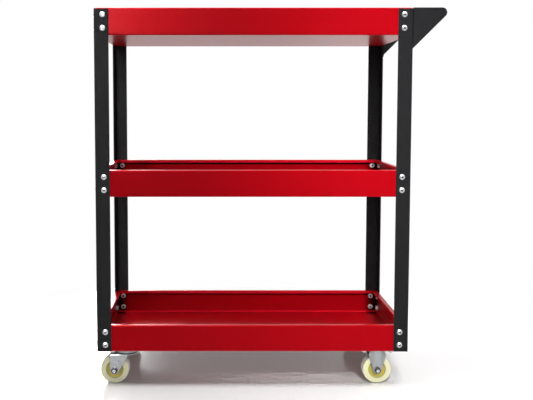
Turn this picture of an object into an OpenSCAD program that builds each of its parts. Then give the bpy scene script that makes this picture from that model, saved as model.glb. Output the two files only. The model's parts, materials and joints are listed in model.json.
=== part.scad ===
// Three-tier tool trolley: four angle legs, three folded trays, a push handle and four casters.
// Frame: origin on the floor under the middle of the overall box, +X towards the handle,
// the long open front faces -Y, +Z up. Millimetres.

/* [Body] */
// Length over the outer faces of the legs
body_l = 692; // [500:1:900]
// Depth over the outer faces of the legs
body_d = 360; // [300:1:600]
// Height of the top tray's rim above the floor
body_h = 840; // [780:1:1000]
// Height of the middle tray's underside above the floor
middle_tray_z = 428; // [300:1:560]

/* [Legs] */
// Width of each flange of an angle leg
leg_w = 32; // [30:1:45]
// Sheet thickness of the legs
leg_t = 1.5; // [1:0.1:2.5]
// Outer radius of the leg's bend
leg_bend_r = 2.5; // [2:0.1:2.9]
// Distance from the leg's top end up to the rim of the top tray
leg_drop = 2; // [0:0.5:5]

/* [Trays] */
// Height of a tray from its underside to its rim
tray_h = 59; // [56:1:90]
// Sheet thickness of the trays
sheet_t = 1; // [0.8:0.1:1.5]
// Outer radius of the trays' bends
tray_bend_r = 2.5; // [2:0.1:4]
// Width of the rim that is folded inward
rim_w = 11; // [10:0.5:20]
// Height of the lip that is folded down from the rim
rim_lip = 7; // [3:0.5:8]
// Gap where two rims meet in a corner
mitre_gap = 0.6; // [0.3:0.1:1.5]

/* [Fasteners] */
// Thread diameter of the tray screws and the caster studs
screw_d = 6; // [5:0.5:6]
// Diameter of the screws' pan heads
screw_head_d = 12; // [11:0.5:13]
// Height of the pan heads
screw_head_h = 3.4; // [3:0.1:4]
// Width across the flats of the hexagon nuts
nut_af = 10; // [8:0.5:10]
// Height of the nuts
nut_h = 5; // [4:0.5:5.5]
// Distance of the tray screws from the leg's outer corner
screw_in = 19; // [18:0.5:20]
// Height of the lower tray screws above the tray's underside
screw_low = 15; // [12:1:18]
// Distance between the lower and the upper tray screws
screw_pitch = 29; // [20:1:30]

/* [Handle] */
// How far the handle reaches past the legs
handle_reach = 73; // [60:1:100]
// Diameter of the handle tube
handle_tube_d = 20; // [16:1:20]
// Wall of the handle tube
handle_tube_t = 1.5; // [1:0.1:2.5]
// Thickness of the handle brackets
bracket_t = 2; // [1.5:0.1:3]
// Radius of the brackets' rounded tips
bracket_tip_r = 10.5; // [10.5:0.5:14]
// Width of the flange that is screwed to the leg
bracket_flange_w = 30; // [28:1:30]
// Width of the flange along the bracket's top edge
bracket_top_w = 12; // [8:1:16]

/* [Casters] */
// Height of a caster from the floor to its top plate
caster_h = 82; // [82:1:90]
// Diameter of the wheels
wheel_d = 63.5; // [60:0.5:63.5]
// Width of the wheels' treads
wheel_w = 25; // [20:1:27]
// Distance from the casters' centre planes to the outer faces of the legs
caster_in_y = 44; // [38:1:60]
// Distance from a caster's plate centre to the end of the body
caster_in_x = 62; // [60:1:90]
// How far a swivel wheel's axle trails behind its kingpin
trail = 27; // [24:1:30]
// Length of the casters' top plates
plate_l = 76; // [74:1:84]
// Width of the casters' top plates
plate_w = 52; // [50:1:60]
// Thickness of the casters' top plates
plate_t = 2.5; // [2:0.1:3]
// Distance between the plates' holes along the body
plate_pitch_x = 60; // [60:1:64]
// Distance between the plates' holes across the body
plate_pitch_y = 38; // [36:1:40]
// Sheet thickness of the forks
fork_t = 2.2; // [1.8:0.1:2.5]
// Diameter of the axle bolts
axle_d = 8; // [6:1:8]
// Outer diameter of the sleeves that the wheels turn on
sleeve_d = 12; // [11:0.5:13]
// Number of balls in a swivel bearing
ball_count = 16; // [8:1:16]

/* [Hidden] */
$fn = 64;

LEFT = -1;
RIGHT = 1;
FRONT = -1;
REAR = 1;
BOTTOM = 0;
MIDDLE = 1;
TOP = 2;

black = "#262628";
red = "#b8101c";
zinc = "#b9bcc0";
steel = "#8f9398";
nylon = "#e6e2b4";

// The overall box runs from the left screw heads to the handle's tip, and its middle is x = 0
body_x = -(handle_reach - screw_head_h) / 2;
tray_z = [caster_h, middle_tray_z, body_h - tray_h];
tray_l = body_l - 2 * leg_t;
tray_d = body_d - 2 * leg_t;
hole_clearance = 0.6;
thread_clearance = 0.1;
running_clearance = 0.12;
nut_flange_t = 1;
nut_flange_d = nut_af + 2.4;
grip = leg_t + sheet_t;
shank_past_nut = 1.5;
recess_w = 1.6;
recess_l = 7;
recess_well_d = 3.8;
recess_depth = 2;

tip_x = handle_reach - bracket_tip_r;
tip_z = body_h - bracket_tip_r;
bracket_low_z = tip_z - tip_x - bracket_tip_r * sqrt(2);
weld_ring_d = handle_tube_d - 1;
weld_ring_w = 0.6;
weld_ring_depth = 0.3;

axle_z = wheel_d / 2;
hub_half = wheel_w / 2 + 2.4;
fork_in = hub_half + 0.5;
fork_out = fork_in + fork_t;
swivel_h = 12.8;
fork_top = caster_h - swivel_h;
fork_bend_r = 4;
fork_end_r = 10;
rigid_end_r = 9;
shoulder_x = 19.5;
shoulder_z = caster_h - 16;
rigid_top_x = 14;
crown_r = 24;
kingpin_r = 5;
ball_r = 3;
ball_ring_r = 17;
ball_gap = 0.3;
race_z = fork_top + 2 * (ball_r + ball_gap);
skirt_r = 23;
skirt_t = 1.5;
skirt_z = fork_top + 2.4;
axle_head_af = 13;
axle_head_h = 5.3;
axle_nut_h = 8;
axle_end = fork_out + axle_nut_h + shank_past_nut;

// ---- Helpers ----

function tangent(p, c, r, side) =
    let (angle = atan2(p[1] - c[1], p[0] - c[0]), half = acos(r / norm(p - c)))
    c + r * [cos(angle + side * half), sin(angle + side * half)];

module flip(axis, on) {
    if (on) mirror(axis) children();
    else children();
}

// A corner's own frame: x runs inward along the body and y inward across it
module at_corner(end, side)
    translate([body_x + end * body_l / 2, side * body_d / 2, 0])
        flip([1, 0, 0], end == RIGHT) flip([0, 1, 0], side == REAR) children();

// A caster's own frame: z is its kingpin or plate centre, and -y points out of the body
module at_caster(end, side)
    translate([body_x + end * (body_l / 2 - caster_in_x), side * (body_d / 2 - caster_in_y), 0])
        flip([0, 1, 0], side == REAR) children();

module rounded_square(w, h, r) {
    translate([r - w / 2, -h / 2]) square([w - 2 * r, h]);
    translate([-w / 2, r - h / 2]) square([w, h - 2 * r]);
    for (x = [-1, 1], y = [-1, 1])
        translate([x * (w / 2 - r), y * (h / 2 - r)]) circle(r);
}

// A square with its first corner rounded
module bent_square(w, h, r) {
    translate([r, 0]) square([w - r, h]);
    translate([0, r]) square([w, h - r]);
    translate([r, r]) circle(r);
}

// An L section whose flanges are w and h long
module bent_section(w, h, t, r) difference() {
    bent_square(w, h, r);
    translate([t, t]) bent_square(w, h, r - t);
}

// ---- Fasteners: each stands on z = 0 with its shank along +z ----

module pan_head() {
    edge_h = 1.2;
    dome_h = screw_head_h - edge_h;
    dome_r = (pow(screw_head_d / 2, 2) + dome_h * dome_h) / (2 * dome_h);
    mirror([0, 0, 1]) difference() {
        intersection() {
            cylinder(d = screw_head_d, h = screw_head_h);
            translate([0, 0, screw_head_h - dome_r]) sphere(dome_r);
        }
        for (turn = [45, 135])
            translate([0, 0, screw_head_h]) rotate(turn)
                cube([recess_l, recess_w, 2 * recess_depth], center = true);
        translate([0, 0, screw_head_h - recess_depth]) cylinder(d = recess_well_d, h = screw_head_h);
    }
}

module screw(clamped) {
    pan_head();
    cylinder(d = screw_d, h = clamped + nut_h + shank_past_nut);
}

module nut(clamped) translate([0, 0, clamped]) difference() {
    union() {
        cylinder(d = nut_flange_d, h = nut_flange_t);
        cylinder(d = nut_af / cos(30), h = nut_h, $fn = 6);
    }
    translate([0, 0, -1]) cylinder(d = screw_d + thread_clearance, h = nut_h + 2);
}

module screw_hole() translate([0, 0, -leg_w / 4])
    cylinder(d = screw_d + hole_clearance, h = leg_w / 2);

// The screws of one tray in one corner's frame: children stand on the leg's outer face
module at_face_screws(level)
    for (z = [screw_low, screw_low + screw_pitch])
        translate([screw_in, 0, tray_z[level] + z]) rotate([-90, 0, 0]) children();

module at_end_screws(level) mirror([1, -1, 0]) at_face_screws(level) children();

module at_corner_screws(level) {
    at_face_screws(level) children();
    at_end_screws(level) children();
}

// The top tray's screws at the handle also clamp the brackets' flanges
module tray_screws(level) color(zinc)
    for (end = [LEFT, RIGHT], side = [FRONT, REAR]) {
        pad = level == TOP && end == RIGHT ? bracket_t : 0;
        at_corner(end, side) {
            at_face_screws(level) screw(grip);
            at_end_screws(level) translate([0, 0, -pad]) screw(grip + pad);
        }
    }

module tray_nuts(level) color(zinc)
    for (end = [LEFT, RIGHT], side = [FRONT, REAR])
        at_corner(end, side) at_corner_screws(level) nut(grip);

// Children hang upside down from the bottom tray's underside, in each hole of a caster plate
module at_plate_holes()
    for (x = [-1, 1], y = [-1, 1])
        translate([x * plate_pitch_x / 2, y * plate_pitch_y / 2, caster_h])
            rotate([180, 0, 0]) children();

module at_all_casters()
    for (end = [LEFT, RIGHT], side = [FRONT, REAR]) at_caster(end, side) children();

// Studs welded under the bottom tray, so that its floor stays clear
module caster_studs() color(steel) at_all_casters() at_plate_holes()
    cylinder(d = screw_d, h = plate_t + nut_h + shank_past_nut);

module caster_nuts() color(zinc) at_all_casters() at_plate_holes() nut(plate_t);

// ---- Frame ----

module leg(end, side) color(black) at_corner(end, side) difference() {
    translate([0, 0, caster_h]) linear_extrude(body_h - leg_drop - caster_h)
        bent_section(leg_w, leg_w, leg_t, leg_bend_r);
    for (level = [BOTTOM, MIDDLE, TOP]) at_corner_screws(level) screw_hole();
}

// A block with the tray's outline, all its edges rounded, shrunk by inset on every side
module tray_block(inset) {
    l = tray_l - 2 * inset;
    d = tray_d - 2 * inset;
    h = tray_h - 2 * inset;
    r = tray_bend_r - inset;
    translate([0, 0, tray_h / 2]) intersection() {
        linear_extrude(h, center = true) rounded_square(l, d, r);
        rotate([90, 0, 0]) linear_extrude(d, center = true) rounded_square(l, h, r);
        rotate([90, 0, 90]) linear_extrude(l, center = true) rounded_square(d, h, r);
    }
}

module rim_lip_ring() {
    translate([0, 0, tray_h - rim_lip]) linear_extrude(rim_lip - sheet_t / 2) difference() {
        square([tray_l - 2 * (rim_w - sheet_t), tray_d - 2 * (rim_w - sheet_t)], center = true);
        square([tray_l - 2 * rim_w, tray_d - 2 * rim_w], center = true);
    }
}

// Each gap runs from the rim's inner corner almost to the bend in its outer corner
module rim_mitre_gaps() {
    run = (rim_w - 1.5 * tray_bend_r) * sqrt(2);
    for (end = [-1, 1], side = [-1, 1])
        translate([end * (tray_l / 2 - rim_w), side * (tray_d / 2 - rim_w), tray_h])
            rotate(end * side * 45) cube([2 * run, mitre_gap, 2 * (rim_lip + 1)], center = true);
}

module tray(level) color(red) difference() {
    translate([body_x, 0, tray_z[level]]) difference() {
        union() {
            difference() {
                tray_block(0);
                tray_block(sheet_t);
            }
            rim_lip_ring();
        }
        translate([0, 0, tray_h]) cube([tray_l - 2 * rim_w, tray_d - 2 * rim_w, tray_h], center = true);
        rim_mitre_gaps();
    }
    for (end = [LEFT, RIGHT], side = [FRONT, REAR])
        at_corner(end, side) at_corner_screws(level) screw_hole();
}

// ---- Handle ----

// Side outline of a bracket, with x running out from the leg
module bracket_outline() {
    tip = [tip_x, tip_z];
    low = [0, bracket_low_z];
    polygon([low, tangent(low, tip, bracket_tip_r, 1), tip, [tip_x, body_h], [0, body_h]]);
    translate(tip) circle(bracket_tip_r);
}

module handle_bracket(side) color(black) at_corner(RIGHT, side) difference() {
    mirror([1, 0, 0]) {
        intersection() {
            translate([0, 0, bracket_low_z]) linear_extrude(body_h - bracket_low_z)
                bent_section(handle_reach, bracket_flange_w, bracket_t, bracket_t + 1);
            translate([0, bracket_flange_w, 0]) rotate([90, 0, 0])
                linear_extrude(bracket_flange_w) bracket_outline();
        }
        translate([bracket_t + 1, bracket_t / 2, body_h - bracket_t])
            cube([tip_x - bracket_tip_r - 2 * bracket_t, bracket_top_w - bracket_t / 2, bracket_t]);
    }
    at_end_screws(TOP) screw_hole();
    translate([-tip_x, weld_ring_depth, tip_z]) rotate([90, 0, 0]) difference() {
        cylinder(d = weld_ring_d, h = 1);
        translate([0, 0, -1]) cylinder(d = weld_ring_d - 2 * weld_ring_w, h = 3);
    }
}

module handle_tube() color(black)
    translate([body_x + body_l / 2 + tip_x, 0, tip_z]) rotate([90, 0, 0]) difference() {
        cylinder(d = handle_tube_d, h = body_d - 2 * bracket_t, center = true);
        cylinder(d = handle_tube_d - 2 * handle_tube_t, h = body_d, center = true);
    }

// ---- Parts that all casters share ----

module plate_blank() difference() {
    translate([0, 0, caster_h - plate_t]) linear_extrude(plate_t) rounded_square(plate_l, plate_w, 7);
    at_plate_holes() screw_hole();
}

// Places its children on the axle, with +z pointing out of the body
module at_axle(x) translate([x, 0, axle_z]) rotate([90, 0, 0]) children();

module axle_bore(x) at_axle(x) cylinder(d = axle_d + 0.4, h = 3 * fork_out, center = true);

module axle_bolt(x) color(zinc) at_axle(x) {
    translate([0, 0, -fork_out - axle_head_h])
        cylinder(d = axle_head_af / cos(30), h = axle_head_h, $fn = 6);
    translate([0, 0, -fork_out]) cylinder(d = axle_d, h = fork_out + axle_end);
}

module axle_nut(x) color(black) at_axle(x) translate([0, 0, fork_out]) difference() {
    union() {
        cylinder(d = axle_head_af / cos(30), h = axle_nut_h - 2, $fn = 6);
        cylinder(d = axle_head_af - 1, h = axle_nut_h);
    }
    translate([0, 0, -1]) cylinder(d = axle_d + thread_clearance, h = axle_nut_h + 2);
}

module sleeve(x) color(steel) at_axle(x) difference() {
    cylinder(d = sleeve_d, h = 2 * fork_in, center = true);
    cylinder(d = axle_d + thread_clearance, h = 3 * fork_in, center = true);
}

// Half section of the wheel: bore, hub boss, recessed web, rim and tread with eased edges
module wheel_half_section() {
    bore_r = (sleeve_d + running_clearance) / 2;
    boss_r = 10.5;
    rim_r = wheel_d / 2 * 0.62;
    web_half = wheel_w / 2 - 3;
    ease = 1.6;
    difference() {
        union() {
            translate([bore_r, 0]) square([boss_r - bore_r, hub_half]);
            square([rim_r + 1, web_half]);
            translate([rim_r, 0]) square([wheel_d / 2 - rim_r - ease, wheel_w / 2]);
            translate([rim_r, 0]) square([wheel_d / 2 - rim_r, wheel_w / 2 - ease]);
            translate([wheel_d / 2 - ease, wheel_w / 2 - ease]) circle(ease);
        }
        translate([-1, -1]) square([bore_r + 1, wheel_w]);
        translate([0, -wheel_w]) square([wheel_d, wheel_w]);
    }
}

module wheel(x) color(nylon) at_axle(x) rotate_extrude($fn = 96) {
    wheel_half_section();
    mirror([0, 1]) wheel_half_section();
}

// ---- Swivel casters ----

module swivel_plate() color(zinc) difference() {
    union() {
        plate_blank();
        translate([0, 0, skirt_z]) cylinder(r = skirt_r, h = caster_h - plate_t / 2 - skirt_z);
    }
    translate([0, 0, fork_top]) cylinder(r = skirt_r - skirt_t, h = race_z - fork_top);
    cylinder(r = kingpin_r + thread_clearance / 2, h = 2 * caster_h);
}

module bearing_balls() color(steel)
    for (i = [0 : ball_count - 1])
        rotate(i * 360 / ball_count)
            translate([ball_ring_r, 0, fork_top + ball_gap + ball_r]) sphere(ball_r);

module kingpin() color(zinc) {
    head_h = 2.6;
    head_top = fork_top - fork_t - ball_gap;
    translate([0, 0, head_top - head_h]) {
        cylinder(r = kingpin_r, h = caster_h - head_top + head_h - 0.2);
        cylinder(r = kingpin_r + 3.5, h = head_h);
    }
}

// Side outline of the swivel fork: upright trailing edge, slanting leading edge, round end
module swivel_fork_outline() {
    axle = [-trail, axle_z];
    lead = [4, fork_top - fork_bend_r];
    polygon([
        axle - [fork_end_r, 0], axle, tangent(lead, axle, fork_end_r, -1), lead,
        [lead[0], fork_top], [axle[0] - fork_end_r, fork_top]
    ]);
    translate(axle) circle(fork_end_r);
}

// Upside-down channel along x
module fork_channel(top) rotate([90, 0, 90]) linear_extrude(4 * crown_r, center = true)
    difference() {
        channel_outline(fork_out, top, fork_bend_r);
        channel_outline(fork_in, top - fork_t, fork_bend_r - fork_t);
    }

module channel_outline(half, top, r) {
    translate([-half, -1]) square([2 * half, top - r + 1]);
    translate([-half + r, -1]) square([2 * (half - r), top + 1]);
    for (y = [-1, 1]) translate([y * (half - r), top - r]) circle(r);
}

module swivel_fork() color(zinc) difference() {
    union() {
        intersection() {
            fork_channel(fork_top);
            translate([0, fork_out, 0]) rotate([90, 0, 0])
                linear_extrude(2 * fork_out) swivel_fork_outline();
        }
        translate([0, 0, fork_top - fork_t]) cylinder(r = crown_r, h = fork_t);
    }
    cylinder(d = 2 * kingpin_r + running_clearance, h = 2 * caster_h);
    axle_bore(-trail);
    translate([fork_end_r - trail, 0, axle_z + 2 * fork_end_r]) rotate([90, 0, 0])
        cylinder(d = 2.5, h = 4 * fork_out, center = true);
}

// ---- Rigid casters ----

// Side outline: narrow under the plate, widest at the shoulders, then down to the round end
module rigid_fork_outline() {
    axle = [0, axle_z];
    polygon([
        tangent([-shoulder_x, shoulder_z], axle, rigid_end_r, 1), axle,
        tangent([shoulder_x, shoulder_z], axle, rigid_end_r, -1),
        [shoulder_x, shoulder_z], [rigid_top_x, caster_h - plate_t / 2],
        [-rigid_top_x, caster_h - plate_t / 2], [-shoulder_x, shoulder_z]
    ]);
    translate(axle) circle(rigid_end_r);
}

// Section of one leg: flat in the middle, with both edges folded a little towards the wheel
module rigid_leg_section() {
    flat = rigid_top_x - 1;
    reach = shoulder_x + 1;
    fold = 2;
    for (x = [-1, 1]) polygon([
        [0, fork_in], [x * flat, fork_in], [x * reach, fork_in - fold],
        [x * reach, fork_out - fold], [x * flat, fork_out], [0, fork_out]
    ]);
}

module stiffening_rib() {
    rib_w = 7;
    low = axle_z + fork_end_r + rib_w / 2;
    high = caster_h - plate_t - rib_w;
    translate([-rib_w / 2, low]) square([rib_w, high - low]);
    for (z = [low, high]) translate([0, z]) circle(d = rib_w);
}

module rigid_bracket() color(zinc) difference() {
    union() {
        plate_blank();
        intersection() {
            linear_extrude(caster_h) for (side = [0, 1]) mirror([0, side]) rigid_leg_section();
            translate([0, fork_out, 0]) rotate([90, 0, 0])
                linear_extrude(2 * fork_out) rigid_fork_outline();
        }
        for (side = [-1, 1]) translate([0, side * (fork_out + 0.2) + 1, 0])
            rotate([90, 0, 0]) linear_extrude(2) stiffening_rib();
    }
    axle_bore(0);
}

// ---- Nodes ----

leg(LEFT, FRONT);  // front_left_leg
leg(LEFT, REAR);  // rear_left_leg
leg(RIGHT, FRONT);  // front_right_leg
leg(RIGHT, REAR);  // rear_right_leg
tray(BOTTOM);  // bottom_tray
tray(MIDDLE);  // middle_tray
tray(TOP);  // top_tray
handle_bracket(FRONT);  // front_handle_bracket
handle_bracket(REAR);  // rear_handle_bracket
handle_tube();
tray_screws(BOTTOM);  // bottom_tray_screws
tray_screws(MIDDLE);  // middle_tray_screws
tray_screws(TOP);  // top_tray_screws
tray_nuts(BOTTOM);  // bottom_tray_nuts
tray_nuts(MIDDLE);  // middle_tray_nuts
tray_nuts(TOP);  // top_tray_nuts
caster_studs();
caster_nuts();
at_caster(LEFT, FRONT) swivel_plate();  // front_left_swivel_plate
at_caster(LEFT, FRONT) bearing_balls();  // front_left_bearing_balls
at_caster(LEFT, FRONT) kingpin();  // front_left_kingpin
at_caster(LEFT, FRONT) swivel_fork();  // front_left_fork
at_caster(LEFT, FRONT) axle_bolt(-trail);  // front_left_axle_bolt
at_caster(LEFT, FRONT) axle_nut(-trail);  // front_left_axle_nut
at_caster(LEFT, FRONT) sleeve(-trail);  // front_left_sleeve
at_caster(LEFT, FRONT) wheel(-trail);  // front_left_wheel
at_caster(LEFT, REAR) swivel_plate();  // rear_left_swivel_plate
at_caster(LEFT, REAR) bearing_balls();  // rear_left_bearing_balls
at_caster(LEFT, REAR) kingpin();  // rear_left_kingpin
at_caster(LEFT, REAR) swivel_fork();  // rear_left_fork
at_caster(LEFT, REAR) axle_bolt(-trail);  // rear_left_axle_bolt
at_caster(LEFT, REAR) axle_nut(-trail);  // rear_left_axle_nut
at_caster(LEFT, REAR) sleeve(-trail);  // rear_left_sleeve
at_caster(LEFT, REAR) wheel(-trail);  // rear_left_wheel
at_caster(RIGHT, FRONT) rigid_bracket();  // front_right_bracket
at_caster(RIGHT, FRONT) axle_bolt(0);  // front_right_axle_bolt
at_caster(RIGHT, FRONT) axle_nut(0);  // front_right_axle_nut
at_caster(RIGHT, FRONT) sleeve(0);  // front_right_sleeve
at_caster(RIGHT, FRONT) wheel(0);  // front_right_wheel
at_caster(RIGHT, REAR) rigid_bracket();  // rear_right_bracket
at_caster(RIGHT, REAR) axle_bolt(0);  // rear_right_axle_bolt
at_caster(RIGHT, REAR) axle_nut(0);  // rear_right_axle_nut
at_caster(RIGHT, REAR) sleeve(0);  // rear_right_sleeve
at_caster(RIGHT, REAR) wheel(0);  // rear_right_wheel
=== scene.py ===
"""Looks for the three-tier tool trolley: materials, lock nut collars, light, floor and camera."""

import json
import math

import bmesh
import bpy
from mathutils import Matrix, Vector


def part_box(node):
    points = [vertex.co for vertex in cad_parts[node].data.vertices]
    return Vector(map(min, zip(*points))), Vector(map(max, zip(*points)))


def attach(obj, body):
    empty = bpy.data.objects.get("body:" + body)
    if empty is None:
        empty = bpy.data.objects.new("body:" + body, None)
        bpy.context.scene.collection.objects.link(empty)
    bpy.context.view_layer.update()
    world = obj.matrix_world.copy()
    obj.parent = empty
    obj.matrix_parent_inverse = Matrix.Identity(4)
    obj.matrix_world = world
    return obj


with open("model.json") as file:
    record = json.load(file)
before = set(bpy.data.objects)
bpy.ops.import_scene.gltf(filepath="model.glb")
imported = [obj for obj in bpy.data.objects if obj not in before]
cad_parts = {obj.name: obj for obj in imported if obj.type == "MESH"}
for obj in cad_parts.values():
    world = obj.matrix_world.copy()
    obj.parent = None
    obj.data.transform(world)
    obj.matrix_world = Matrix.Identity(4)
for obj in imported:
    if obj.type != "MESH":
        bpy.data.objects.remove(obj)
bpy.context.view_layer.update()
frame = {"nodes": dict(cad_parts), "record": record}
nodes = frame["nodes"]

# ---- Sizes, in metres ----

MM = 0.001
SHEET = MM  # the trays' sheet thickness
RIM_W, RIM_LIP = 11 * MM, 7 * MM  # the trays' folded rim and the lip under it
SCREW_IN, SCREW_LOW, SCREW_PITCH = 17.5 * MM, 15 * MM, 29 * MM  # from the tray's sides and underside
CORNERS = [n[: -len("_leg")] for n in nodes if n.endswith("_leg")]

# ---- Node-tree helpers ----


def new_material(name):
    """An empty Principled material, and its tree and shader."""
    mat = bpy.data.materials.new(name)
    mat.use_nodes = True
    tree = mat.node_tree
    return mat, tree, tree.nodes["Principled BSDF"]


def object_coords(tree):
    """Coordinates in the row frame, which every CAD node's mesh is in."""
    return tree.nodes.new("ShaderNodeTexCoord").outputs["Object"]


def noise(tree, coords, scale, detail=2.0, roughness=0.5):
    """Fractal noise from 0 to 1; scale is in features a metre."""
    node = tree.nodes.new("ShaderNodeTexNoise")
    node.inputs["Scale"].default_value = scale
    node.inputs["Detail"].default_value = detail
    node.inputs["Roughness"].default_value = roughness
    tree.links.new(coords, node.inputs["Vector"])
    return node.outputs["Fac"]


def ramp(tree, value, stops):
    """A colour ramp over value; stops are (place, colour)."""
    node = tree.nodes.new("ShaderNodeValToRGB")
    elements = node.color_ramp.elements
    while len(elements) < len(stops):
        elements.new(0.5)
    for element, (place, colour) in zip(elements, stops):
        element.position = place
        element.color = (*colour, 1)
    tree.links.new(value, node.inputs["Fac"])
    return node.outputs["Color"]


def spread(tree, value, low, high):
    """Maps a 0 to 1 value to low to high."""
    node = tree.nodes.new("ShaderNodeMapRange")
    node.inputs["To Min"].default_value = low
    node.inputs["To Max"].default_value = high
    tree.links.new(value, node.inputs["Value"])
    return node.outputs["Result"]


def mix_colours(tree, factor, first, second, blend="MIX"):
    """Blends two colours; each is a colour or a socket, and so is the factor."""
    node = tree.nodes.new("ShaderNodeMix")
    node.data_type = "RGBA"
    node.blend_type = blend
    for socket, value in ((node.inputs[0], factor), (node.inputs[6], first), (node.inputs[7], second)):
        if isinstance(value, float):
            socket.default_value = value
        elif isinstance(value, tuple):
            socket.default_value = (*value, 1)
        else:
            tree.links.new(value, socket)
    return node.outputs[2]


def hollow_shade(tree, colour, reach, black_at, clear_at):
    """Darkens a colour in hollows narrower than reach, by how much of the sky they see."""
    sky = tree.nodes.new("ShaderNodeAmbientOcclusion")
    sky.inputs["Distance"].default_value = reach
    sky.samples = 8
    shade = smooth_step(tree, sky.outputs["AO"], black_at, clear_at)
    return mix_colours(tree, 1.0, colour, shade, "MULTIPLY")


def split_axes(tree, coords):
    """The x, y and z sockets of a vector."""
    node = tree.nodes.new("ShaderNodeSeparateXYZ")
    tree.links.new(coords, node.inputs["Vector"])
    return node.outputs


def smooth_step(tree, value, start, end):
    """0 before start, 1 after end, and smooth between."""
    node = tree.nodes.new("ShaderNodeMapRange")
    node.interpolation_type = "SMOOTHSTEP"
    node.inputs["From Min"].default_value = start
    node.inputs["From Max"].default_value = end
    tree.links.new(value, node.inputs["Value"])
    return node.outputs["Result"]


def band(tree, value, start, end, soft):
    """1 where value lies between start and end, fading to 0 over soft outside them."""
    risen = smooth_step(tree, value, start - soft, start)
    passed = smooth_step(tree, value, end, end + soft)
    return math_node(tree, "SUBTRACT", risen, passed)


def distance_from(tree, coordinate, middle):
    """How far a coordinate is from a middle, on either side."""
    return math_node(tree, "ABSOLUTE", math_node(tree, "SUBTRACT", coordinate, middle))


def length_of(tree, across, up):
    """Length of the vector (across, up)."""
    squares = [math_node(tree, "MULTIPLY", side, side) for side in (across, up)]
    return math_node(tree, "SQRT", math_node(tree, "ADD", *squares))


def math_node(tree, operation, a, b=None):
    """One Math node; a and b are each a number or a socket."""
    node = tree.nodes.new("ShaderNodeMath")
    node.operation = operation
    for socket, value in zip(node.inputs, (a, b)):
        if value is None:
            continue
        if isinstance(value, (int, float)):
            socket.default_value = value
        else:
            tree.links.new(value, socket)
    return node.outputs[0]


def bump(tree, shader, height, distance, strength=1.0, coat=False):
    """Feeds a bump of that height field to the shader's normal, and to its coat's as well if asked."""
    node = tree.nodes.new("ShaderNodeBump")
    node.inputs["Distance"].default_value = distance
    node.inputs["Strength"].default_value = strength
    tree.links.new(height, node.inputs["Height"])
    tree.links.new(node.outputs["Normal"], shader.inputs["Normal"])
    if coat:
        tree.links.new(node.outputs["Normal"], shader.inputs["Coat Normal"])


# ---- Materials ----

# Hollow shades: how far they reach, and the share of sky at which they are black and clear
CORNER_HOLLOWS = (0.05, 0.16, 0.46)
UNDER_HOLLOWS = (0.25, 0.0, 0.36)
SMALL_HOLLOWS = (0.004, 0.1, 0.7)
FLAKE_REDS = (0.36, 0.0007, 0.0035), (0.47, 0.0018, 0.008)
# Painted highlight red, on the rims' lips and along the bend at each tray's floor
HIGHLIGHT_RED = (0.72, 0.006, 0.02)
# Painted shade red, for the trays' inner corners and the wall under the rim lip
SHADE_RED = (0.03, 0.0005, 0.001)
BOUNCE_RED = (0.40, 0.26, 0.26)  # what other surfaces see, so that the floor stays nearly neutral
CORNER_SHADE = (12 * MM, 36 * MM)  # from black to clear, away from a tray's inner corner
# Painted shadow tone in the screws' recesses
RECESS_SHADOW_TONE = (0.05, 0.05, 0.055)
RECESS_SHADE = (1.3 * MM, 2.9 * MM)  # painted shadow in a screw's recess, from dark to clear, away from its axis
# Painted highlight tone, for the sheen down the middle of each rigid fork
SHEEN_TONE = (0.56, 0.57, 0.58)
SHEEN_EDGE = (0.25, 0.65)  # from full painted sheen to none, in half widths of the fork
FORK_HALF = 16 * MM


def paint_tray_light_and_shade(tree, coords, colour, low, high):
    """Paints light and shade into a tray's colour by place in its box, low to high: a painted highlight on
    the lip, painted shade on the wall behind it and in the inner corners, and a painted highlight along the
    bend at the floor."""
    x, y, z = split_axes(tree, coords)
    middle, half = (low + high) / 2, (high - low) / 2
    inset_x = math_node(tree, "SUBTRACT", half.x, distance_from(tree, x, middle.x))
    inset_y = math_node(tree, "SUBTRACT", half.y, distance_from(tree, y, middle.y))
    inset = math_node(tree, "MINIMUM", inset_x, inset_y)
    below = math_node(tree, "SUBTRACT", high.z, z)
    soft = 0.4 * MM
    lip_low, tray_h = RIM_LIP + 4.5 * MM, high.z - low.z

    at_wall = band(tree, inset, SHEET - 0.2 * MM, 3 * SHEET, soft)
    under_rim = band(tree, below, 2 * MM, lip_low, 2 * MM)
    near_floor = band(tree, below, tray_h - 4 * MM, tray_h, MM)
    lip_side = band(tree, inset, RIM_W - SHEET, RIM_W, soft)
    lip_height = band(tree, below, 0.0, RIM_LIP, soft)
    inner_side = smooth_step(tree, inset, SHEET - 0.6 * MM, SHEET - 0.2 * MM)
    inside = math_node(tree, "MULTIPLY", inner_side, smooth_step(tree, below, RIM_LIP, RIM_LIP + MM))
    off_corner = smooth_step(tree, math_node(tree, "MAXIMUM", inset_x, inset_y), *CORNER_SHADE)
    in_corner = math_node(tree, "SUBTRACT", inside, math_node(tree, "MULTIPLY", inside, off_corner))

    # Painted shade in the inner corners
    colour = mix_colours(tree, in_corner, colour, SHADE_RED)
    # Painted highlight on the lip
    colour = mix_colours(tree, math_node(tree, "MULTIPLY", lip_side, lip_height), colour, HIGHLIGHT_RED)
    # Painted shadow on the wall under the rim lip
    colour = mix_colours(tree, math_node(tree, "MULTIPLY", at_wall, under_rim), colour, SHADE_RED)
    # Painted highlight along the bend at the floor
    return mix_colours(tree, math_node(tree, "MULTIPLY", at_wall, near_floor), colour, HIGHLIGHT_RED)


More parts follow.
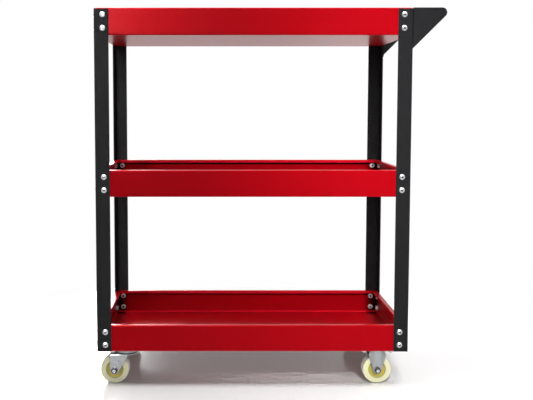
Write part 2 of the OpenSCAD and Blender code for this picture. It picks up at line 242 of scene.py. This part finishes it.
def red_paint(name, low, high):
    """Glossy candy red over a fine metallic base, with faint orange peel, for the tray in a box, with
    painted shade in its corners and hollows and painted highlights on its lip and floor bend.
    """
    mat, tree, shader = new_material(name)
    coords = object_coords(tree)
    flake = noise(tree, coords, 2600, detail=1.0)
    colour = ramp(tree, flake, list(zip((0.35, 0.65), FLAKE_REDS)))
    # Painted shade in the tray's corners and creases, by how much sky they see
    colour = hollow_shade(tree, colour, *CORNER_HOLLOWS)
    # Painted light and shade, placed by the tray's box
    colour = paint_tray_light_and_shade(tree, coords, colour, low, high)
    path = tree.nodes.new("ShaderNodeLightPath").outputs
    colour = mix_colours(tree, path["Is Diffuse Ray"], colour, BOUNCE_RED)
    tree.links.new(colour, shader.inputs["Base Color"])
    shader.inputs["Metallic"].default_value = 0.15
    shader.inputs["Specular IOR Level"].default_value = 0.03
    shader.inputs["Coat Weight"].default_value = 0.09
    shader.inputs["Coat Roughness"].default_value = 0.03
    shader.inputs["Coat IOR"].default_value = 1.2
    tree.links.new(spread(tree, flake, 0.24, 0.34), shader.inputs["Roughness"])
    bump(tree, shader, noise(tree, coords, 420, detail=2.0), 0.00002, 0.5, coat=True)
    return mat


def black_powder_coat():
    """Matt black powder coat with a fine pebbled texture."""
    mat, tree, shader = new_material("black_powder_coat")
    coords = object_coords(tree)
    grain = noise(tree, coords, 1100, detail=3.0, roughness=0.6)
    patches = noise(tree, coords, 14, detail=2.0)
    colour = ramp(tree, grain, [(0.35, (0.004, 0.004, 0.0045)), (0.70, (0.017, 0.017, 0.018))])
    tree.links.new(colour, shader.inputs["Base Color"])
    shader.inputs["Specular IOR Level"].default_value = 0.12
    tree.links.new(spread(tree, patches, 0.46, 0.58), shader.inputs["Roughness"])
    bump(tree, shader, grain, 0.00018, 0.55)
    return mat


def zinc(name, light, dark, roughness, grain_scale, hollows=SMALL_HOLLOWS, metallic=1.0,
         sheen_at=None, tray=None):
    """Zinc plate: clouded metal, with painted shade in its hollows. The fork-middle argument gives the
    middle, along x, of a fork that gets a painted sheen in the middle and none at its sides. tray is the box
    of the tray whose screws this covers; their recesses get painted shadow."""
    mat, tree, shader = new_material(name)
    coords = object_coords(tree)
    cloud = noise(tree, coords, grain_scale, detail=4.0, roughness=0.6)
    tone = ramp(tree, cloud, [(0.3, dark), (0.7, light)])
    if hollows:
        # Painted shade in the hollows, by how much sky they see
        tone = hollow_shade(tree, tone, *hollows)
    if sheen_at is not None:
        # Painted sheen down the middle of the fork
        across = distance_from(tree, split_axes(tree, coords)["X"], sheen_at)
        away = math_node(tree, "DIVIDE", across, FORK_HALF)
        middle_sheen = math_node(tree, "SUBTRACT", 1.0, smooth_step(tree, away, *SHEEN_EDGE))
        tone = mix_colours(tree, middle_sheen, tone, SHEEN_TONE)
    if tray:
        # Painted shadow in each screw's recess
        outside_recess_shadow = smooth_step(tree, off_screw_axis(tree, coords, *tray), *RECESS_SHADE)
        tone = mix_colours(tree, outside_recess_shadow, RECESS_SHADOW_TONE, tone)
    tree.links.new(tone, shader.inputs["Base Color"])
    shader.inputs["Metallic"].default_value = metallic
    tree.links.new(spread(tree, cloud, roughness + 0.08, roughness - 0.06), shader.inputs["Roughness"])
    bump(tree, shader, noise(tree, coords, grain_scale * 6, detail=2.0), 0.00002, 0.4)
    return mat


def off_screw_axis(tree, coords, low, high):
    """Distance from the nearest screw axis of the tray in the box low to high."""
    x, y, z = split_axes(tree, coords)
    middle, half = (low + high) / 2, (high - low) / 2
    from_pair = distance_from(tree, z, low.z + SCREW_LOW + SCREW_PITCH / 2)
    off_height = distance_from(tree, from_pair, SCREW_PITCH / 2)
    offsets = []
    for side, centre, reach in ((x, middle.x, half.x), (y, middle.y, half.y)):
        off_side = distance_from(tree, distance_from(tree, side, centre), reach - SCREW_IN)
        offsets.append(length_of(tree, off_side, off_height))
    return math_node(tree, "MINIMUM", *offsets)


def nylon(name, centre):
    """Cream nylon that is darker and more yellow towards the hub, partly its own tone and partly painted
    shade of the recess, with a fine moulded grain and painted shade where it sits under the trolley.
    """
    mat, tree, shader = new_material(name)
    coords = object_coords(tree)
    x, _, z = split_axes(tree, coords)
    across = math_node(tree, "SUBTRACT", x, centre.x)
    up = math_node(tree, "SUBTRACT", z, centre.z)
    reach = math_node(tree, "DIVIDE", length_of(tree, across, up), centre.z)
    # Darker towards the hub: partly the nylon's own deeper tone, partly painted shade of the recess
    hub, web = (0.60, 0.49, 0.07), (0.72, 0.63, 0.13)
    rim, tread = (0.93, 0.90, 0.58), (0.95, 0.93, 0.66)
    colour = ramp(tree, reach, [(0.20, hub), (0.58, web), (0.66, rim), (1.0, tread)])
    # Painted shade under the trolley, by how much sky the wheel sees
    tree.links.new(hollow_shade(tree, colour, *UNDER_HOLLOWS), shader.inputs["Base Color"])
    shader.inputs["Subsurface Weight"].default_value = 0.25
    shader.inputs["Subsurface Scale"].default_value = 0.004
    shader.inputs["Subsurface Radius"].default_value = (1.0, 0.8, 0.4)
    grain = noise(tree, coords, 600, detail=3.0)
    tree.links.new(spread(tree, grain, 0.34, 0.46), shader.inputs["Roughness"])
    bump(tree, shader, grain, 0.00003, 0.4)
    return mat


BRIGHT_TONES = (0.86, 0.87, 0.88), (0.66, 0.67, 0.69), 0.22, 180
PRESSED_TONES = (0.54, 0.55, 0.56), (0.40, 0.41, 0.42), 0.30, 90
# A lighter, matt copy of bright zinc without hollow shade: painted highlight standing in for the nuts'
# glints
NUTS_PAINTED_GLINT = zinc("bright_zinc_nuts_painted_glint", (0.95, 0.95, 0.96), (0.80, 0.81, 0.83), 0.22, 180, None, 0.0)
BY_SLOT = {
    "black_powder_coat": black_powder_coat(),
    "bright_zinc": zinc("bright_zinc", *BRIGHT_TONES),
    "black_zinc": zinc("black_zinc", (0.075, 0.075, 0.08), (0.03, 0.03, 0.032), 0.28, 180),
    # Painted shade on the forks under the trolley, by how much sky they see
    "pressed_zinc": zinc("pressed_zinc", *PRESSED_TONES, hollows=UNDER_HOLLOWS),
    "bearing_steel": zinc("bearing_steel", (0.62, 0.62, 0.64), (0.48, 0.48, 0.50), 0.25, 200),
}


def paint_nodes():
    """Every CAD node gets the material of its slot. Wheels, trays, tray screws and rigid forks each get
    one of their own, placed by the node's box."""
    for part in frame["record"]["subparts"]:
        name, slot = part["node"], part["material_slot"]
        if slot == "nylon_wheel":
            low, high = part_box(name)
            mat = nylon(f"nylon_{name}", (low + high) / 2)
        elif slot == "red_gloss_paint":
            mat = red_paint(f"red_{name}", *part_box(name))
        elif name.endswith("tray_nuts"):
            # Tray nuts take the lighter copy with the painted glint
            mat = NUTS_PAINTED_GLINT
        elif name.endswith("tray_screws"):
            mat = zinc(f"zinc_{name}", *BRIGHT_TONES, tray=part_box(name.removesuffix("_screws")))
        elif name.endswith("_right_bracket"):
            # Rigid forks get a painted sheen down the middle
            low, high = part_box(name)
            middle = (low.x + high.x) / 2
            mat = zinc(f"zinc_{name}", *PRESSED_TONES, hollows=UNDER_HOLLOWS, sheen_at=middle)
        else:
            mat = BY_SLOT[slot]
        mesh = nodes[name].data
        mesh.materials.clear()
        mesh.materials.append(mat)


paint_nodes()


# ---- Small details on the CAD parts ----


def ring_mesh(name, centre, axis, rows, steps=48):
    """A ring turned about axis: rows are (radius, offset along the axis), in order around its section."""
    along = Vector(axis).normalized()
    side = along.orthogonal().normalized()
    other = along.cross(side)
    mesh = bpy.data.meshes.new(name)
    points = []
    for i in range(steps):
        turn = 2 * math.pi * i / steps
        out = side * math.cos(turn) + other * math.sin(turn)
        points += [centre + out * radius + along * offset for radius, offset in rows]
    n = len(rows)
    faces = [
        (i * n + j, i * n + (j + 1) % n, (i + 1) % steps * n + (j + 1) % n, (i + 1) % steps * n + j)
        for i in range(steps)
        for j in range(n)
    ]
    mesh.from_pydata(points, [], faces)
    tidy = bmesh.new()
    tidy.from_mesh(mesh)
    bmesh.ops.recalc_face_normals(tidy, faces=tidy.faces)
    tidy.to_mesh(mesh)
    tidy.free()
    mesh.shade_smooth()
    return mesh


def add_ring(name, body, slot, centre, axis, rows):
    """Adds a turned ring that rides on a body and takes its finish from a material slot."""
    ring = bpy.data.objects.new(name, ring_mesh(name, centre, axis, rows))
    ring.data.materials.append(BY_SLOT[slot])
    bpy.context.scene.collection.objects.link(ring)
    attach(ring, body)
    return ring


def arc_rows(radius, offset, thick, start, end, steps=6):
    """Points on an arc of the given thickness about (radius, offset), from start to end in degrees."""
    turns = [math.radians(start + (end - start) * i / steps) for i in range(steps + 1)]
    return [(radius + thick * math.cos(t), offset + thick * math.sin(t)) for t in turns]


def add_lock_rings():
    """The rolled collar of each lock nut: a low crowned ring around the bolt's end."""
    collar_r, sunk, thick = 4.95 * MM, 0.2 * MM, 0.85 * MM
    for corner in CORNERS:
        low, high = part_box(f"{corner}_axle_nut")
        out = -1 if corner.startswith("front") else 1
        face = low.y if out < 0 else high.y
        centre = Vector(((low.x + high.x) / 2, face, (low.z + high.z) / 2))
        body = f"{corner}_swivel" if corner.endswith("left") else "frame"
        rows = arc_rows(collar_r, -sunk, thick, 0, 180)
        add_ring(f"{corner}_lock_ring", body, "black_zinc", centre, (0, out, 0), rows)


add_lock_rings()


# ---- Floor, light and camera ----


def add_floor():
    """A round floor that fades into the white room around it."""
    radius, clear, gone, steps = 6.0, 0.55, 1.0, 96
    mesh = bpy.data.meshes.new("floor")
    turns = [2 * math.pi * i / steps for i in range(steps)]
    rim = [(radius * math.cos(turn), radius * math.sin(turn), 0) for turn in turns]
    mesh.from_pydata(rim, [], [tuple(range(steps))])
    mat, tree, shader = new_material("studio_floor")
    shader.inputs["Base Color"].default_value = (0.94, 0.94, 0.94, 1)
    shader.inputs["Roughness"].default_value = 0.16
    shader.inputs["Specular IOR Level"].default_value = 0.08
    room = tree.nodes.new("ShaderNodeBsdfTransparent")
    mix = tree.nodes.new("ShaderNodeMixShader")
    length = tree.nodes.new("ShaderNodeVectorMath")
    length.operation = "LENGTH"
    tree.links.new(object_coords(tree), length.inputs[0])
    tree.links.new(smooth_step(tree, length.outputs["Value"], clear, gone), mix.inputs["Fac"])
    tree.links.new(shader.outputs["BSDF"], mix.inputs[1])
    tree.links.new(room.outputs["BSDF"], mix.inputs[2])
    tree.links.new(mix.outputs["Shader"], tree.nodes["Material Output"].inputs["Surface"])
    mesh.materials.append(mat)
    floor = bpy.data.objects.new("floor", mesh)
    floor.visible_glossy = False
    bpy.context.scene.collection.objects.link(floor)


def soft_card(tree, along, centre, width, glow):
    """A soft-edged reflector in the room, centred on one direction."""
    away = math_node(tree, "DIVIDE", math_node(tree, "SUBTRACT", along, centre), width)
    fall = math_node(tree, "MULTIPLY", math_node(tree, "MULTIPLY", away, away), -1.0)
    return math_node(tree, "MULTIPLY", math_node(tree, "EXPONENT", fall), glow)


def pick(tree, switch, off, on):
    """off where the switch is 0, and on where it is 1."""
    node = tree.nodes.new("ShaderNodeMix")
    tree.links.new(switch, node.inputs["Factor"])
    for socket, value in ((node.inputs["A"], off), (node.inputs["B"], on)):
        if isinstance(value, float):
            socket.default_value = value
        else:
            tree.links.new(value, socket)
    return node.outputs["Result"]


def add_world():
    """A white room for the eye. Reflections see it bright above the trolley, dimmer around it and with a
    card on either side of the eye, and rough surfaces get an even glow from it."""
    world = bpy.data.worlds.new("studio")
    world.use_nodes = True
    tree = world.node_tree
    across, depth, up = split_axes(tree, tree.nodes.new("ShaderNodeTexCoord").outputs["Generated"])
    behind = math_node(tree, "MULTIPLY", smooth_step(tree, depth, 0.0, 0.4), BEHIND_GLOW)
    above = math_node(tree, "MULTIPLY", smooth_step(tree, up, 0.35, 0.85), TOP_GLOW)
    upper = smooth_step(tree, up, 0.0, 0.1)
    left = math_node(tree, "MULTIPLY", soft_card(tree, across, *LEFT_CARD), upper)
    cards = math_node(tree, "ADD", left, soft_card(tree, across, *RIGHT_CARD))
    mirrored = math_node(tree, "ADD", math_node(tree, "MAXIMUM", behind, above), cards)
    mirrored = math_node(tree, "ADD", mirrored, FRONT_GLOW)
    path = tree.nodes.new("ShaderNodeLightPath").outputs
    lit = pick(tree, path["Is Glossy Ray"], ROOM_GLOW, mirrored)
    tree.links.new(
        pick(tree, path["Is Camera Ray"], lit, WHITE), tree.nodes["Background"].inputs["Strength"]
    )
    tree.nodes["Background"].inputs["Color"].default_value = (1, 1, 1, 1)
    bpy.context.scene.world = world


def add_soft_box(name, place, target, width, height, watts, spread_deg=180):
    """A rectangular lamp that lights matt surfaces only; reflections come from the room."""
    data = bpy.data.lights.new(name, "AREA")
    data.spread = math.radians(spread_deg)
    data.shape = "RECTANGLE"
    data.size, data.size_y, data.energy = width, height, watts
    lamp = bpy.data.objects.new(name, data)
    lamp.location = place
    lamp.rotation_euler = (Vector(target) - Vector(place)).to_track_quat("-Z", "Y").to_euler()
    lamp.visible_camera = False
    lamp.visible_glossy = False
    bpy.context.scene.collection.objects.link(lamp)


def add_camera():
    """The photographer's eye: left of the middle, and between the middle and the top tray."""
    data = bpy.data.cameras.new("camera")
    data.sensor_width = 36
    data.lens = 56.4
    data.shift_x, data.shift_y = 0.0914, -0.0638
    look_down = 4.19
    camera = bpy.data.objects.new("camera", data)
    camera.location = (-0.1119, -2.0043, 0.6301)
    camera.rotation_euler = (math.radians(90 - look_down), 0, 0)
    bpy.context.scene.collection.objects.link(camera)
    bpy.context.scene.camera = camera


WHITE = 1.0
ROOM_GLOW = 0.14  # on rough surfaces; the glows below are for reflections
FRONT_GLOW = 0.62
BEHIND_GLOW = 0.38
TOP_GLOW = 2.5
LEFT_CARD = (-0.17, 0.045, 44.0)  # direction across, width and glow
RIGHT_CARD = (0.165, 0.06, 0.3)
bpy.context.scene.view_settings.view_transform = "Standard"
add_floor()
add_world()
add_camera()
# Place, aim, width, height and watts of each lamp
add_soft_box("top", (0, -0.2, 2.6), (0, 0, 0), 2.8, 1.8, 92)
add_soft_box("front_fill", (0, -3.0, 1.3), (0, 0, 0.45), 3.0, 1.6, 8)
add_soft_box("right_strip", (0.26, -1.2, 1.2), (0.26, 0, 0.42), 0.10, 0.70, 1.5, 40)
